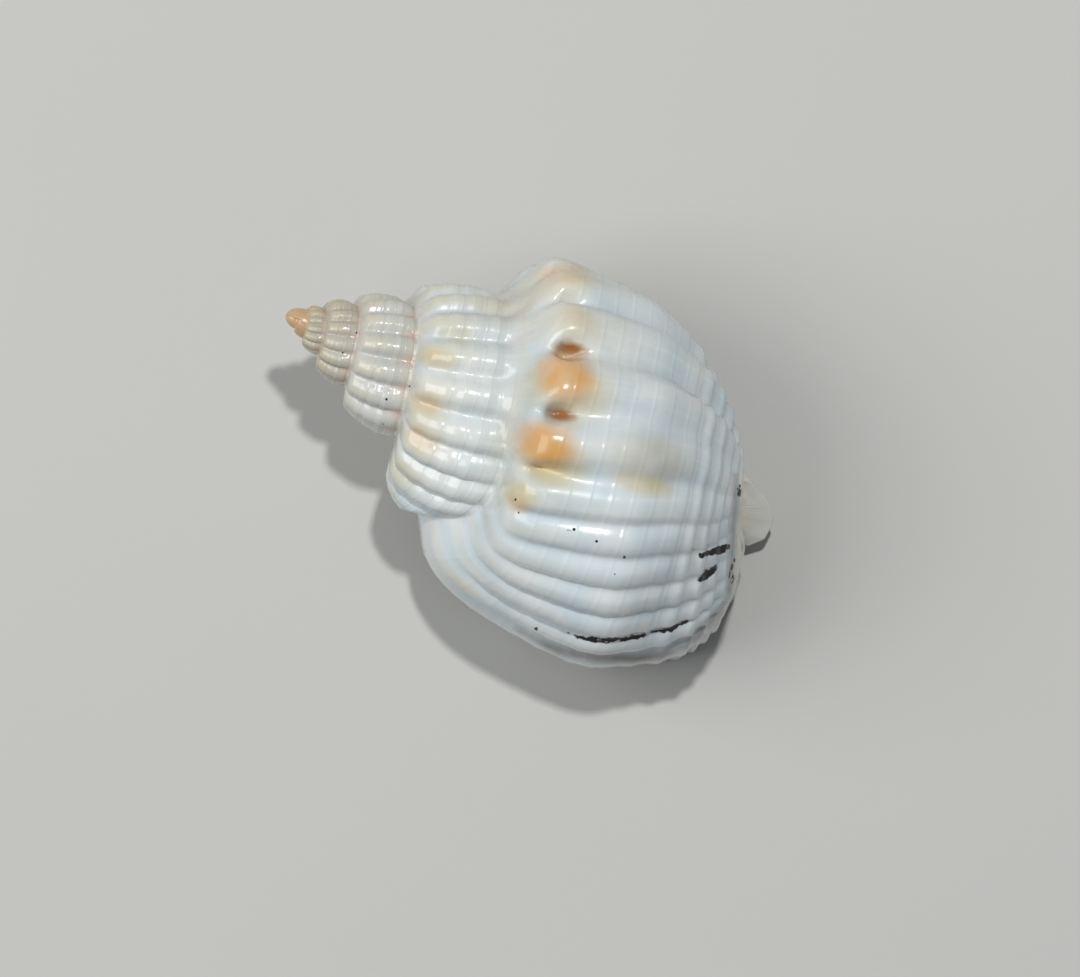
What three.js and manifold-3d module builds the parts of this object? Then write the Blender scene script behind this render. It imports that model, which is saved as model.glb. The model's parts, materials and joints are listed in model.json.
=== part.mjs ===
// A cake nassa shell lying mouth down, in millimetres.
// The coiling axis runs along +X from the apex to the siphonal end, the outer lip is on the -Y side,
// and +Z is up. The shell grows round its axis as one spiral band, so the whole surface is worked out
// from two numbers: the turn, counted from the middle of the back, and the way across from the suture
// (0) to the siphonal end (1).
import * as THREE from 'three';
import { mergeVertices } from 'three/addons/utils/BufferGeometryUtils.js';
import Module from 'manifold-3d';

// Driving dimensions
const FIRST_SUTURE = 12.0; // height of the last suture below the apex at turn 0, in the middle of the back
const GROWTH = 1.83; // size of a whorl over the size of the one before it
const AXIS_TILT = THREE.MathUtils.degToRad(8.5); // the apex is raised by this where the shell lies
const LIP_TURN = 0.345; // the outer lip stands 124 degrees past the middle of the back
const FLOOR_LEVEL = -9.25; // height of the floor under the axis at the apex
const LIP_THICKNESS = 1.5;
const WALL = 1.25;
const COLUMELLA = 1.4; // radius of the pillar in the middle
const RIB_DEPTH = 0.22; // depth of the groove between two ribs, over their spacing
const CORD_DEPTH = 0.1;
const CALLUS = 0.35; // glaze laid over the belly beside the mouth

// The mesh: steps round one turn, rows back that a growth line leans from one suture to the next
const STEPS = 128;
const LEAN_STEPS = 5;
const WHORL_ROWS = 556;
const BAND_ACROSS = [0, 0.06, 0.2, 0.45, 0.75, 1];
const BASE_COLUMNS = 10;
const BAND_COLUMNS = BAND_ACROSS.length - 1;
const COLUMNS = BAND_COLUMNS + BASE_COLUMNS;
const BAND_END = 0.5; // the way across at which the next whorl covers this one
const MOUTH_TURN = LIP_TURN - 1 + LEAN_STEPS / STEPS; // from here on a row runs to the siphonal end
const FIRST_TURN = LIP_TURN - WHORL_ROWS / STEPS;

const spire = (turn, radius) => [turn, FIRST_SUTURE * GROWTH ** turn, radius];

// Suture: turn, distance below the apex, radius. It climbs to the lip on the last eighth of a turn.
// Past the lip the list goes on over the last whorl, where a next whorl would have covered it.
const SUTURE = [
  spire(-5, 0.2), spire(-4.25, 0.56), spire(-3.75, 0.78), spire(-3.25, 1.06), spire(-2.75, 1.37),
  spire(-2.25, 1.91), spire(-1.75, 2.39), spire(-1.25, 3.05), spire(-0.75, 3.85), spire(-0.5, 4.5),
  spire(-0.25, 5.2), spire(0, 6.1), [0.11, 12.6, 6.5], [0.15, 12.45, 6.7], [0.18, 12.0, 6.85],
  [0.21, 11.0, 6.95], [0.235, 10.3, 7.0], [0.28, 10.0, 7.0], [0.345, 10.3, 7.0], [0.42, 13.0, 7.1],
  [0.5, 15.3, 7.0], [0.75, 18.5, 7.3], [1.0, 21.2, 7.75], [1.25, 23.3, 9.6], [1.345, 24.2, 11.3],
];
// How the radius of a whorl climbs from its suture to the next: a short flat shoulder, then a wall
const SHOULDER = [[0, 0], [0.04, 0.3], [0.13, 0.56], [0.28, 0.72], [0.5, 0.86], [0.75, 0.96], [1, 1]];
const BULGE = [
  [-5, 0], [-1.5, 0], [-1, 0.02], [-0.616, 0.1], [-0.25, 1], [0, 1.5], [0.25, 1.3], [0.345, 1.55],
];
const BULGE_SHAPE = [[0, 0], [0.04, 0.5], [0.13, 0.85], [0.28, 1], [0.5, 1], [0.75, 0.85], [1, 0]];
// A shoulder that eases out slowly (over 1) or stands out sharply (under 1)
const SHOULDER_EASE = [[-5, 1], [-0.6, 1], [-0.3, 0.85], [0, 0.8], [0.12, 1], [0.2, 1.4], [0.345, 1.4]];
// The base of the last whorl: turn, then distance below the apex, radius and angle of two points
const BASE_NEAR = [
  [-0.616, 15.0, 7.0, 156], [-0.56, 16.6, 6.9, 168], [-0.5, 18.8, 6.5, 178], [-0.4, 19.6, 6.0, 208],
  [-0.25, 21.0, 5.4, 253], [0, 22.6, 5.9, 340], [0.1, 23.3, 6.3, 377], [0.2, 24.7, 7.2, 414],
  [0.28, 25.5, 8.0, 444], [0.345, 26.2, 9.6, 484],
];
const BASE_FAR = [
  [-0.616, 20.5, 6.1, 168], [-0.56, 21.5, 5.6, 176], [-0.5, 22.5, 4.9, 183], [-0.4, 23.0, 3.9, 208],
  [-0.25, 23.5, 3.0, 250], [0, 24.2, 3.2, 335], [0.1, 24.6, 3.6, 374], [0.2, 25.8, 4.9, 412],
  [0.28, 26.3, 5.8, 442], [0.345, 27.1, 7.6, 482],
];
// The edge that the rows end on: up round the tongue of the siphonal canal, then along its notch
const CANAL_EDGE = [
  [-0.616, -3.9, 1.75, 27.1], [-0.58, -3.5, 1.0, 27.7], [-0.5, -3.0, 0.1, 27.65], [-0.4, -2.4, -0.55, 27.1],
  [-0.3, -1.8, -1.0, 26.2], [-0.2, -1.2, -1.25, 25.4], [-0.1, -0.5, -1.2, 24.9], [0, 0, -0.3, 25.35],
  [0.1, -0.3, 1.0, 25.85], [0.17, -1.0, 1.9, 26.55], [0.22, -1.6, 2.8, 26.75], [0.28, -2.4, 3.7, 27.1],
  [0.345, -3.4, 4.5, 27.35],
];
// Rib crests at the suture in degrees from the middle of the back, on the whorls where they are uneven
const LAST_RIBS = [
  -205, -183, -159, -135, -111, -87, -63, -40, -13, 10, 28.5, 40, 51, 61.5, 71.5, 82, 97, 124,
];
const FOURTH_RIBS = [-78, -55, -34, -12, 9, 31, 47, 61.5, 76, 91, 107, 123, 139];
const SPIRE_RIB_STEP = 26;
// How much of its lean a growth line keeps on the last whorl: it straightens towards the lip
const LEAN_KEPT = [
  [-5, 1], [-0.3, 1], [-0.12, 0.85], [0.02, 1.35], [0.1, 1.25], [0.17, 1], [0.21, 0.8], [0.345, 0],
];
// How far the ribs stand out across the last whorl: on the lip side they run whole, on the back they are
// knobs at the shoulder that soften below it
const LIP_SIDE_RIBS = [[0, 0], [0.05, 0.5], [0.12, 1], [0.5, 1], [0.8, 0.8], [0.92, 0.3], [1, 0]];
const BACK_RIBS = [[0, 0], [0.03, 0.5], [0.1, 1.5], [0.18, 1.2], [0.3, 0.6], [0.75, 0.5], [0.9, 0.1], [1, 0]];
const LIP_SIDE_SHARE = [[-0.7, 0], [0.03, 0], [0.1, 1], [0.345, 1]];
const KNOB_HEIGHT = 0.28;
const KNOB_SPREAD = [[-0.7, 0], [-0.4, 1.6], [-0.25, 1.4], [-0.1, 1], [0.05, 1], [0.12, 0.3], [0.2, 0]];
const KNOB_SHAPE = [[0, 0], [0.03, 0.6], [0.07, 1], [0.13, 0.6], [0.25, 0], [1, 0]];
const CALLUS_SPREAD = [[-0.72, 0], [-0.6, 1], [-0.46, 1], [-0.38, 0]];

/** Value of a smooth curve through [x, a, b, ...] keys that never overshoots them, as a list of a, b, ... */
function follow(keys, x) {
  let k = 0;
  while (k < keys.length - 2 && x > keys[k + 1][0]) k += 1;
  const slope = (i, c) => (keys[i + 1][c] - keys[i][c]) / (keys[i + 1][0] - keys[i][0]);
  const span = (i) => keys[i + 1][0] - keys[i][0];
  const tangent = (i, c) => {
    if (i === 0) return slope(0, c);
    if (i === keys.length - 1) return slope(i - 1, c);
    const before = slope(i - 1, c);
    const after = slope(i, c);
    if (before * after <= 0) return 0;
    const near = 2 * span(i) + span(i - 1);
    const far = span(i) + 2 * span(i - 1);
    return (near + far) / (near / before + far / after);
  };
  const t = THREE.MathUtils.clamp((x - keys[k][0]) / span(k), 0, 1);
  const blend = 3 * t ** 2 - 2 * t ** 3;
  const leaving = (t ** 3 - 2 * t ** 2 + t) * span(k);
  const arriving = (t ** 3 - t ** 2) * span(k);
  const values = [];
  for (let c = 1; c < keys[k].length; c += 1) {
    const between = THREE.MathUtils.lerp(keys[k][c], keys[k + 1][c], blend);
    values.push(between + leaving * tangent(k, c) + arriving * tangent(k + 1, c));
  }
  return values;
}

/** A point in the shell's own frame: x to the back, y to the lip side, z down the axis from the apex */
const aroundAxis = (turn, radius, down) =>
  new THREE.Vector3(radius * Math.cos(2 * Math.PI * turn), radius * Math.sin(2 * Math.PI * turn), down);

const leanAt = (turn, across) => (LEAN_STEPS / STEPS) * across * follow(LEAN_KEPT, turn)[0];

/** Distance below the apex and radius of a whorl at one turn; t runs from its suture to the next */
function whorlSection(turn, t) {
  const [down, radius] = follow(SUTURE, turn);
  const [nextDown, nextRadius] = follow(SUTURE, turn + 1);
  const eased = t ** follow(SHOULDER_EASE, turn)[0];
  const swell = follow(BULGE, turn)[0] * follow(BULGE_SHAPE, eased)[0];
  return [
    down + (nextDown - down) * t,
    radius + (nextRadius - radius) * follow(SHOULDER, eased)[0] + swell,
  ];
}

function bandPoint(turn, t, lift) {
  const place = turn - leanAt(turn, t);
  const [down, radius] = whorlSection(place, t);
  return aroundAxis(place, radius + lift, down);
}

// All rib crests from the apex to the lip, in turns
const crests = [...FOURTH_RIBS.map((angle) => angle / 360 - 1), ...LAST_RIBS.map((angle) => angle / 360)];
while (crests[0] > FIRST_TURN - 1) crests.unshift(crests[0] - SPIRE_RIB_STEP / 360);

/** Rib spacing as a length, and how near the turn is to a crest: 1 on a crest, 0 in a groove */
function ribAt(turn, radius) {
  let k = 0;
  while (k < crests.length - 2 && turn > crests[k + 1]) k += 1;
  const spacing = crests[k + 1] - crests[k];
  const phase = THREE.MathUtils.clamp((turn - crests[k]) / spacing, 0, 1);
  return {
    width: Math.min(spacing, SPIRE_RIB_STEP / 360) * 2 * Math.PI * radius,
    crest: Math.cos(Math.PI * phase) ** 2,
  };
}

/** Height of the ribs, knobs and callus over the plain whorl */
function relief(turn, across, radius) {
  const { width, crest } = ribAt(turn, radius);
  const groove = RIB_DEPTH * width * (1 - crest);
  if (turn < MOUTH_TURN) return -groove * Math.min(1, across / 0.05);
  const covered = follow(CALLUS_SPREAD, turn)[0];
  const whole = follow(LIP_SIDE_SHARE, turn)[0];
  const reach = THREE.MathUtils.lerp(follow(BACK_RIBS, across)[0], follow(LIP_SIDE_RIBS, across)[0], whole);
  const knob = KNOB_HEIGHT * crest * follow(KNOB_SPREAD, turn)[0] * follow(KNOB_SHAPE, across)[0];
  const glaze = CALLUS * covered * Math.min(1, across * 5, (1 - across) * 5);
  return (knob - groove * reach) * (1 - covered) + glaze;
}

/** Base of the last whorl, from where the band ends to the canal edge, as a curve through four points */
function baseCurve(turn) {
  const near = follow(BASE_NEAR, turn);
  const far = follow(BASE_FAR, turn);
  return new THREE.CatmullRomCurve3([
    bandPoint(turn, 0.75, 0),
    bandPoint(turn, 1, 0),
    aroundAxis(near[2] / 360, near[1], near[0]),
    aroundAxis(far[2] / 360, far[1], far[0]),
    new THREE.Vector3(...follow(CANAL_EDGE, turn)),
  ], false, 'centripetal');
}

/** One point of the outside, raised by its ribs, cords and callus */
function outsidePoint(turn, column, base) {
  if (column <= BAND_COLUMNS) {
    const t = BAND_ACROSS[column];
    const [, radius] = whorlSection(turn, t);
    return bandPoint(turn, t, relief(turn, t * BAND_END, radius));
  }
  const share = (column - BAND_COLUMNS) / BASE_COLUMNS;
  const point = base.getPoint(0.25 + 0.75 * share);
  const out = new THREE.Vector3(point.x, point.y, 0);
  const radius = out.length();
  const across = BAND_END + share * (1 - BAND_END);
  const cord = CORD_DEPTH * Math.cos(Math.PI * column) * Math.sin(Math.PI * share);
  const lift = column === COLUMNS ? 0 : relief(turn, across, radius) + cord;
  return point.add(out.normalize().multiplyScalar(lift));
}

// The outside, row by row. A row's last band point is the first point of a row one turn on.
const vertices = [];
const triangles = [];
const addVertex = (point) => vertices.push(point) - 1;
function addStrip(a, b) {
  for (let k = 0; k < a.length - 1; k += 1) {
    if (a[k] !== a[k + 1]) triangles.push([a[k + 1], a[k], b[k]]);
    if (b[k] !== b[k + 1]) triangles.push([b[k + 1], a[k + 1], b[k]]);
  }
}

const rows = [];
for (let i = 0; i <= WHORL_ROWS; i += 1) {
  const turn = FIRST_TURN + i / STEPS;
  const full = turn >= MOUTH_TURN - 1e-6;
  const base = full ? baseCurve(turn) : null;
  const before = rows[i - STEPS + LEAN_STEPS];
  const row = [];
  for (let j = 0; j <= (full ? COLUMNS : BAND_COLUMNS); j += 1) {
    const shared = j === 0 && before;
    row.push(shared ? before[BAND_COLUMNS] : addVertex(outsidePoint(turn, j, base)));
  }
  rows.push(row);
  if (i === 0) continue;
  const width = rows[i - 1].length;
  addStrip(rows[i - 1], row.slice(0, width));
}

// The smooth round tip above the first row: rings that narrow to the apex
const TIP_RINGS = [[0.82, 0.55], [0.5, 0.17]];
const apex = addVertex(new THREE.Vector3(0, 0, 0));
const firstTurnTop = rows.slice(0, STEPS - LEAN_STEPS + 1).map((row) => row[0]);
const tipEdge = [...firstTurnTop, ...rows[0].slice(0, -1).reverse()];
let above = tipEdge;
for (const [narrow, low] of TIP_RINGS) {
  const shrink = new THREE.Vector3(narrow, narrow, low);
  const ring = tipEdge.slice(0, -1).map((v) => addVertex(vertices[v].clone().multiply(shrink)));
  ring.push(ring[0]);
  addStrip(above, ring);
  above = ring;
}
for (let k = 0; k < above.length - 1; k += 1) triangles.push([apex, above[k + 1], above[k]]);

// The mouth: down the lip, round the canal edge, and back up the inner lip
const firstFull = WHORL_ROWS - STEPS + LEAN_STEPS;
const lipRow = rows[WHORL_ROWS];
const canalRow = rows.slice(firstFull, WHORL_ROWS).map((row) => row[COLUMNS]).reverse();
const innerRow = rows[firstFull].slice(BAND_COLUMNS, COLUMNS).reverse();
const mouth = [...lipRow, ...canalRow, ...innerRow];

const CANAL_POINTS = 12; // the many row ends on the canal edge are gathered to this many
const CANAL_FROM = 0.56; // share of the way round the mouth at which the canal begins, and ends
const CANAL_TO = 0.68;
const MOUTH_RIM = [[0, 0.5], [0.08, 1], [0.46, 1], [CANAL_FROM, 0.3], [CANAL_TO, 0.3], [1, 0.5]];
const centre = new THREE.Vector3();
mouth.forEach((v) => centre.addScaledVector(vertices[v], 1 / mouth.length));

/** Closed outline of the hollow in the half plane at a depth in turns, as radius and distance down */
function hollowOutline(depth) {
  const turn = LIP_TURN - depth;
  const [top, sutureRadius] = follow(SUTURE, turn);
  const near = follow(BASE_NEAR, turn);
  const far = follow(BASE_FAR, turn);
  const foot = far[0] - 2 - 4 * depth;
  const height = foot - top;
  const inside = (t, drop) => {
    const [down, radius] = whorlSection(turn, t);
    return new THREE.Vector3(radius - WALL, down + drop, 0);
  };
  return new THREE.CatmullRomCurve3([
    new THREE.Vector3(sutureRadius * 0.98, top + 1.6 * WALL, 0),
    inside(0.16, 0.6 * WALL),
    inside(0.4, 0),
    inside(0.7, 0),
    inside(1, -0.5 * WALL),
    new THREE.Vector3(near[1] - 1.3 * WALL, near[0] - WALL, 0),
    new THREE.Vector3(0.5 * far[1] + 0.8, foot + 0.5, 0),
    new THREE.Vector3(0.2 * far[1] + COLUMELLA, foot, 0),
    new THREE.Vector3(COLUMELLA, top + 0.8 * height, 0),
    new THREE.Vector3(COLUMELLA + 0.2, top + 0.6 * height, 0),
    new THREE.Vector3(0.4 * sutureRadius + 0.5, top + 0.42 * height, 0),
    new THREE.Vector3(0.8 * sutureRadius, top + 0.26 * height, 0),
  ], true, 'centripetal');
}

// Where each vertex of the mouth lies on that outline; the inner lip's vertices bunch towards the top
const places = [
  ...lipRow.map((v, k) => (CANAL_FROM * k) / (lipRow.length - 1)),
  ...canalRow.map((v, k) => {
    const group = Math.round(((k + 1) / canalRow.length) * CANAL_POINTS) / CANAL_POINTS;
    return THREE.MathUtils.lerp(CANAL_FROM, CANAL_TO, group);
  }),
  ...innerRow.map((v, k) => THREE.MathUtils.lerp(CANAL_TO, 1, (k + 0.6) / (innerRow.length + 0.2))),
];

/** One ring of the hollow, between the mouth's own rim and the outline; equal places share a vertex */
function hollowRing(depth, blend) {
  const outline = hollowOutline(depth);
  const ring = [];
  mouth.forEach((v, k) => {
    if (k > 0 && places[k] === places[k - 1]) {
      ring.push(ring[k - 1]);
      return;
    }
    const edge = vertices[v].clone();
    const width = LIP_THICKNESS * follow(MOUTH_RIM, places[k])[0];
    edge.addScaledVector(centre.clone().sub(edge).normalize(), width);
    const spot = outline.getPoint(places[k]);
    ring.push(addVertex(edge.lerp(aroundAxis(LIP_TURN - depth, spot.x, spot.y), blend)));
  });
  return ring;
}

// Each ring's depth in turns, and how far it has left the rim for the outline
const HOLLOW_RINGS = [
  [0.01, 0.02], [0.03, 0.25], [0.06, 0.6], [0.1, 0.9], [0.15, 1], [0.22, 1], [0.29, 1], [0.36, 1],
  [0.43, 1], [0.5, 1],
];
let outerRing = [...mouth, mouth[0]];
for (const [depth, blend] of HOLLOW_RINGS) {
  const open = hollowRing(depth, blend);
  const ring = [...open, open[0]];
  addStrip(outerRing, ring);
  outerRing = ring;
}
const deepEnd = new THREE.Vector3();
outerRing.forEach((v) => deepEnd.addScaledVector(vertices[v], 1 / outerRing.length));
const end = addVertex(deepEnd);
for (let k = 0; k < outerRing.length - 1; k += 1) {
  if (outerRing[k] !== outerRing[k + 1]) triangles.push([outerRing[k + 1], outerRing[k], end]);
}

/** From the shell's own frame to the world: mouth down, apex left and a little raised */
function toWorld(point) {
  return new THREE.Vector3(
    point.z * Math.cos(AXIS_TILT) + point.x * Math.sin(AXIS_TILT),
    -point.y,
    point.x * Math.cos(AXIS_TILT) - point.z * Math.sin(AXIS_TILT) - FLOOR_LEVEL,
  );
}

const shellGeometry = new THREE.BufferGeometry();
shellGeometry.setAttribute('position', new THREE.Float32BufferAttribute(
  vertices.flatMap((point) => toWorld(point).toArray()), 3));
shellGeometry.setIndex(triangles.flat());

// The belly and the lip are worn flat where the shell lies on them
const wasm = await Module();
wasm.setup();
function toSolid(geometry) {
  const bare = geometry.clone();
  bare.deleteAttribute('normal');
  bare.deleteAttribute('uv');
  const merged = mergeVertices(bare, 1e-5);
  return new wasm.Manifold(new wasm.Mesh({
    numProp: 3,
    vertProperties: new Float32Array(merged.attributes.position.array),
    triVerts: new Uint32Array(merged.index.array),
  }));
}
const FLOOR_SIZE = 80;
const floor = new THREE.BoxGeometry(FLOOR_SIZE, FLOOR_SIZE, FLOOR_SIZE).translate(0, 0, -FLOOR_SIZE / 2);
const lying = toSolid(shellGeometry).subtract(toSolid(floor)).getMesh();
const geometry = new THREE.BufferGeometry();
geometry.setAttribute('position', new THREE.Float32BufferAttribute(lying.vertProperties, 3));
geometry.setIndex(Array.from(lying.triVerts));
geometry.computeBoundingBox();
const middle = geometry.boundingBox.getCenter(new THREE.Vector3());
geometry.translate(-middle.x, -middle.y, 0);
geometry.computeVertexNormals();

const porcelain = new THREE.MeshStandardMaterial({ color: 0xd3d4cd, roughness: 0.28, metalness: 0 });
const shell = new THREE.Mesh(geometry, porcelain);
shell.name = 'shell';

const group = new THREE.Group();
group.add(shell);
export default group;
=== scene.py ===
# %% [markdown]
# # A cake nassa shell
# A sea snail's shell about 27 mm long, lying on its mouth. It has a stepped spire, a swollen last whorl
# with a row of orange knobs, and a notched end where the snail's siphon came out.
# This lesson winds the shell from one spiral band, glazes it as a shell is glazed, and lights it.

# %% Load the fixed model
import json
import math

import bpy
import numpy as np
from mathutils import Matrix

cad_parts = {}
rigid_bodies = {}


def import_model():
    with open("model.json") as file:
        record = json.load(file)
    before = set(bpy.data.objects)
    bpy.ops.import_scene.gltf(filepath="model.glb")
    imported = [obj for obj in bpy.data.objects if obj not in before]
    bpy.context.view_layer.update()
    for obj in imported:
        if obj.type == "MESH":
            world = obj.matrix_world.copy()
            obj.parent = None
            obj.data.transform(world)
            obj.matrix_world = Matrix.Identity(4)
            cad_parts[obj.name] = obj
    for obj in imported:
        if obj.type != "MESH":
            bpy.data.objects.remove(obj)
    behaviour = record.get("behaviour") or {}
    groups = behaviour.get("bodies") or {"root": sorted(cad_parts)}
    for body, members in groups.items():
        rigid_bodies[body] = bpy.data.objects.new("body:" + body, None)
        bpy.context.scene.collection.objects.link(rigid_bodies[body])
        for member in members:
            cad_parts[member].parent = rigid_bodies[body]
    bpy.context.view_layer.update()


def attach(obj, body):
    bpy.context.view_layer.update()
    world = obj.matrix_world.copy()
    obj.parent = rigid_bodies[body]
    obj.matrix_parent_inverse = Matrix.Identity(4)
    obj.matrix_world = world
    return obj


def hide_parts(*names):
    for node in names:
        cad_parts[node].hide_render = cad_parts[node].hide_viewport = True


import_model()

# %% [markdown]
# ## The camera
# The shell was looked at from straight above, through a long lens, with its axis slanting down to the
# right. A camera is placed by its aim, its roll and the width that it takes in, so these three are the
# values to measure. A long lens far away keeps the sides of the shell upright, as they are in the view.

# %% The camera
MM = 0.001
CAMERA_ROLL = math.radians(22.8)
CAMERA_AIM = (1.84, -1.81)
CAMERA_HEIGHT = 1200
VIEW_WIDTH = 54.93
SENSOR = 36
WIDEST_LEVEL = 6

camera_data = bpy.data.cameras.new("camera")
camera = bpy.data.objects.new("camera", camera_data)
bpy.context.scene.collection.objects.link(camera)
camera.location = (CAMERA_AIM[0] * MM, CAMERA_AIM[1] * MM, CAMERA_HEIGHT * MM)
camera.rotation_euler = (0, 0, CAMERA_ROLL)
camera_data.sensor_width = SENSOR
camera_data.lens = SENSOR * (CAMERA_HEIGHT - WIDEST_LEVEL) / VIEW_WIDTH
camera_data.clip_start = 0.01
bpy.context.scene.camera = camera
print("lens in mm:", round(camera_data.lens, 1))

# %% [markdown]
# ## How a shell grows
# A snail adds to its shell only at the lip, so a shell is one band that is wound round an axis and gets
# wider by the same share each turn. Every place on it has two numbers: the turn, counted from the middle
# of the back, and the way across the band, from the suture (0) to the next suture (1). A lathe or a
# screw modifier can't make it, because they don't grow, and sculpting by hand loses the regular ribs.
# So each sheet of the shell starts as a flat grid, and its vertices are wound into place by a formula.
# The formula reads a few curves, each given by the keys that its shape needs.

# %% The proportions of the shell, in millimetres and turns
FIRST_SUTURE = 12.0
GROWTH = 1.83
AXIS_TILT = math.radians(8.5)
LIP_TURN = 0.345
FLOOR_LEVEL = -9.25
MIDDLE = (13.4529, -1.3495)
LIP_THICKNESS = 1.5
WALL = 1.25
COLUMELLA = 1.4


def spire(turn, radius):
    """A suture key above the last whorl: its height follows the growth"""
    return [turn, FIRST_SUTURE * GROWTH ** turn, radius]


# turn, distance below the apex, radius
SUTURE = [
    spire(-6, 0.28), spire(-5, 0.46), spire(-4.25, 0.62), spire(-3.75, 0.8), spire(-3.25, 1.06),
    spire(-2.75, 1.37), spire(-2.25, 1.91), spire(-1.75, 2.39), spire(-1.25, 3.05), spire(-0.75, 3.85),
    spire(-0.5, 4.5), spire(-0.25, 5.2), spire(0, 6.1), [0.11, 12.6, 6.5], [0.15, 12.45, 6.7],
    [0.18, 12.0, 6.85], [0.21, 11.0, 6.95], [0.235, 10.3, 7.0], [0.28, 10.0, 7.0], [0.345, 10.3, 7.0],
    [0.42, 13.0, 7.1], [0.5, 15.3, 7.0], [0.75, 18.5, 7.3], [1.0, 21.2, 7.75], [1.25, 23.3, 9.6],
    [1.345, 24.2, 11.3],
]
# How the radius climbs from a suture to the next: a short shoulder, then a wall
SHOULDER = [[0, 0], [0.04, 0.3], [0.13, 0.56], [0.28, 0.72], [0.5, 0.86], [0.75, 0.96], [1, 1]]
SHOULDER_EASE = [[-5, 1], [-0.6, 1], [-0.3, 0.85], [0, 0.8], [0.12, 1], [0.2, 1.4], [0.345, 1.4]]
BULGE = [[-5, 0], [-1.5, 0], [-1, 0.02], [-0.616, 0.1], [-0.25, 1], [0, 1.5], [0.25, 1.3], [0.345, 1.55]]
BULGE_SHAPE = [[0, 0], [0.04, 0.5], [0.13, 0.85], [0.28, 1], [0.5, 1], [0.75, 0.85], [1, 0]]
# The base of the last whorl: turn, then distance down, radius and angle of two points
BASE_NEAR = [
    [-0.616, 15.0, 7.0, 156], [-0.56, 16.6, 6.9, 168], [-0.5, 18.8, 6.5, 178], [-0.4, 19.6, 6.0, 208],
    [-0.25, 21.0, 5.4, 253], [0, 22.6, 5.9, 340], [0.1, 23.3, 6.3, 377], [0.2, 24.7, 7.2, 414],
    [0.28, 25.5, 8.0, 444], [0.345, 26.2, 9.6, 484],
]
BASE_FAR = [
    [-0.616, 20.5, 6.1, 168], [-0.56, 21.5, 5.6, 176], [-0.5, 22.5, 4.9, 183], [-0.4, 23.0, 3.9, 208],
    [-0.25, 23.5, 3.0, 250], [0, 24.2, 3.2, 335], [0.1, 24.6, 3.6, 374], [0.2, 25.8, 4.9, 412],
    [0.28, 26.3, 5.8, 442], [0.345, 27.1, 7.6, 482],
]
# The edge of the siphonal canal: turn, then x, y and distance down
CANAL_EDGE = [
    [-0.616, -3.9, 1.75, 27.1], [-0.58, -3.5, 1.0, 27.7], [-0.5, -3.0, 0.1, 27.65],
    [-0.4, -2.4, -0.55, 27.1], [-0.3, -1.8, -1.0, 26.2], [-0.2, -1.2, -1.25, 25.4],
    [-0.1, -0.5, -1.2, 24.9], [0, 0, -0.3, 25.35], [0.1, -0.3, 1.0, 25.85], [0.17, -1.0, 1.9, 26.55],
    [0.22, -1.6, 2.8, 26.75], [0.28, -2.4, 3.7, 27.1], [0.345, -3.4, 4.5, 27.35],
]
# A growth line leans back on its way across the band, and straightens towards the lip
LEAN = 5 / 128
LEAN_KEPT = [
    [-5, 1], [-0.3, 1], [-0.12, 0.85], [0.02, 1.35], [0.1, 1.25], [0.17, 1], [0.21, 0.8], [0.345, 0],
]


# %% [markdown]
# ## Curves through keys
# A shell has no corners between two measured places, so the keys are joined by smooth curves. A plain
# spline swings past its keys, which would dent the shell, so the slope at each key is held back and the
# curve stays between its keys. Where the keys are points in space, one curve runs through all of them.

# %% Curves through keys
def follow(keys, x):
    """Smooth curve through [x, a, b, ...] keys that never overshoots them, as arrays of a, b, ..."""
    keys = np.asarray(keys, float)
    x = np.asarray(x, float)
    places, values = keys[:, 0], keys[:, 1:]
    span = np.diff(places)
    slope = np.diff(values, axis=0) / span[:, None]
    near = (2 * span[1:] + span[:-1])[:, None]
    far = (span[1:] + 2 * span[:-1])[:, None]
    same_way = slope[:-1] * slope[1:] > 0
    before = np.where(same_way, slope[:-1], 1)
    after = np.where(same_way, slope[1:], 1)
    inner = np.where(same_way, (near + far) / (near / before + far / after), 0)
    tangent = np.vstack([slope[:1], inner, slope[-1:]])
    k = np.clip(np.searchsorted(places, x, side="right") - 1, 0, len(span) - 1)
    t = np.clip((x - places[k]) / span[k], 0, 1)[..., None]
    blend = 3 * t ** 2 - 2 * t ** 3
    leaving = (t ** 3 - 2 * t ** 2 + t) * span[k][..., None]
    arriving = (t ** 3 - t ** 2) * span[k][..., None]
    curve = values[k] * (1 - blend) + values[k + 1] * blend
    curve = curve + leaving * tangent[k] + arriving * tangent[k + 1]
    return np.moveaxis(curve, -1, 0)


def smooth(x, low, high):
    """0 below low, 1 above high, and an easy step between"""
    t = np.clip((np.asarray(x, float) - low) / (high - low), 0, 1)
    return t * t * (3 - 2 * t)


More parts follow.
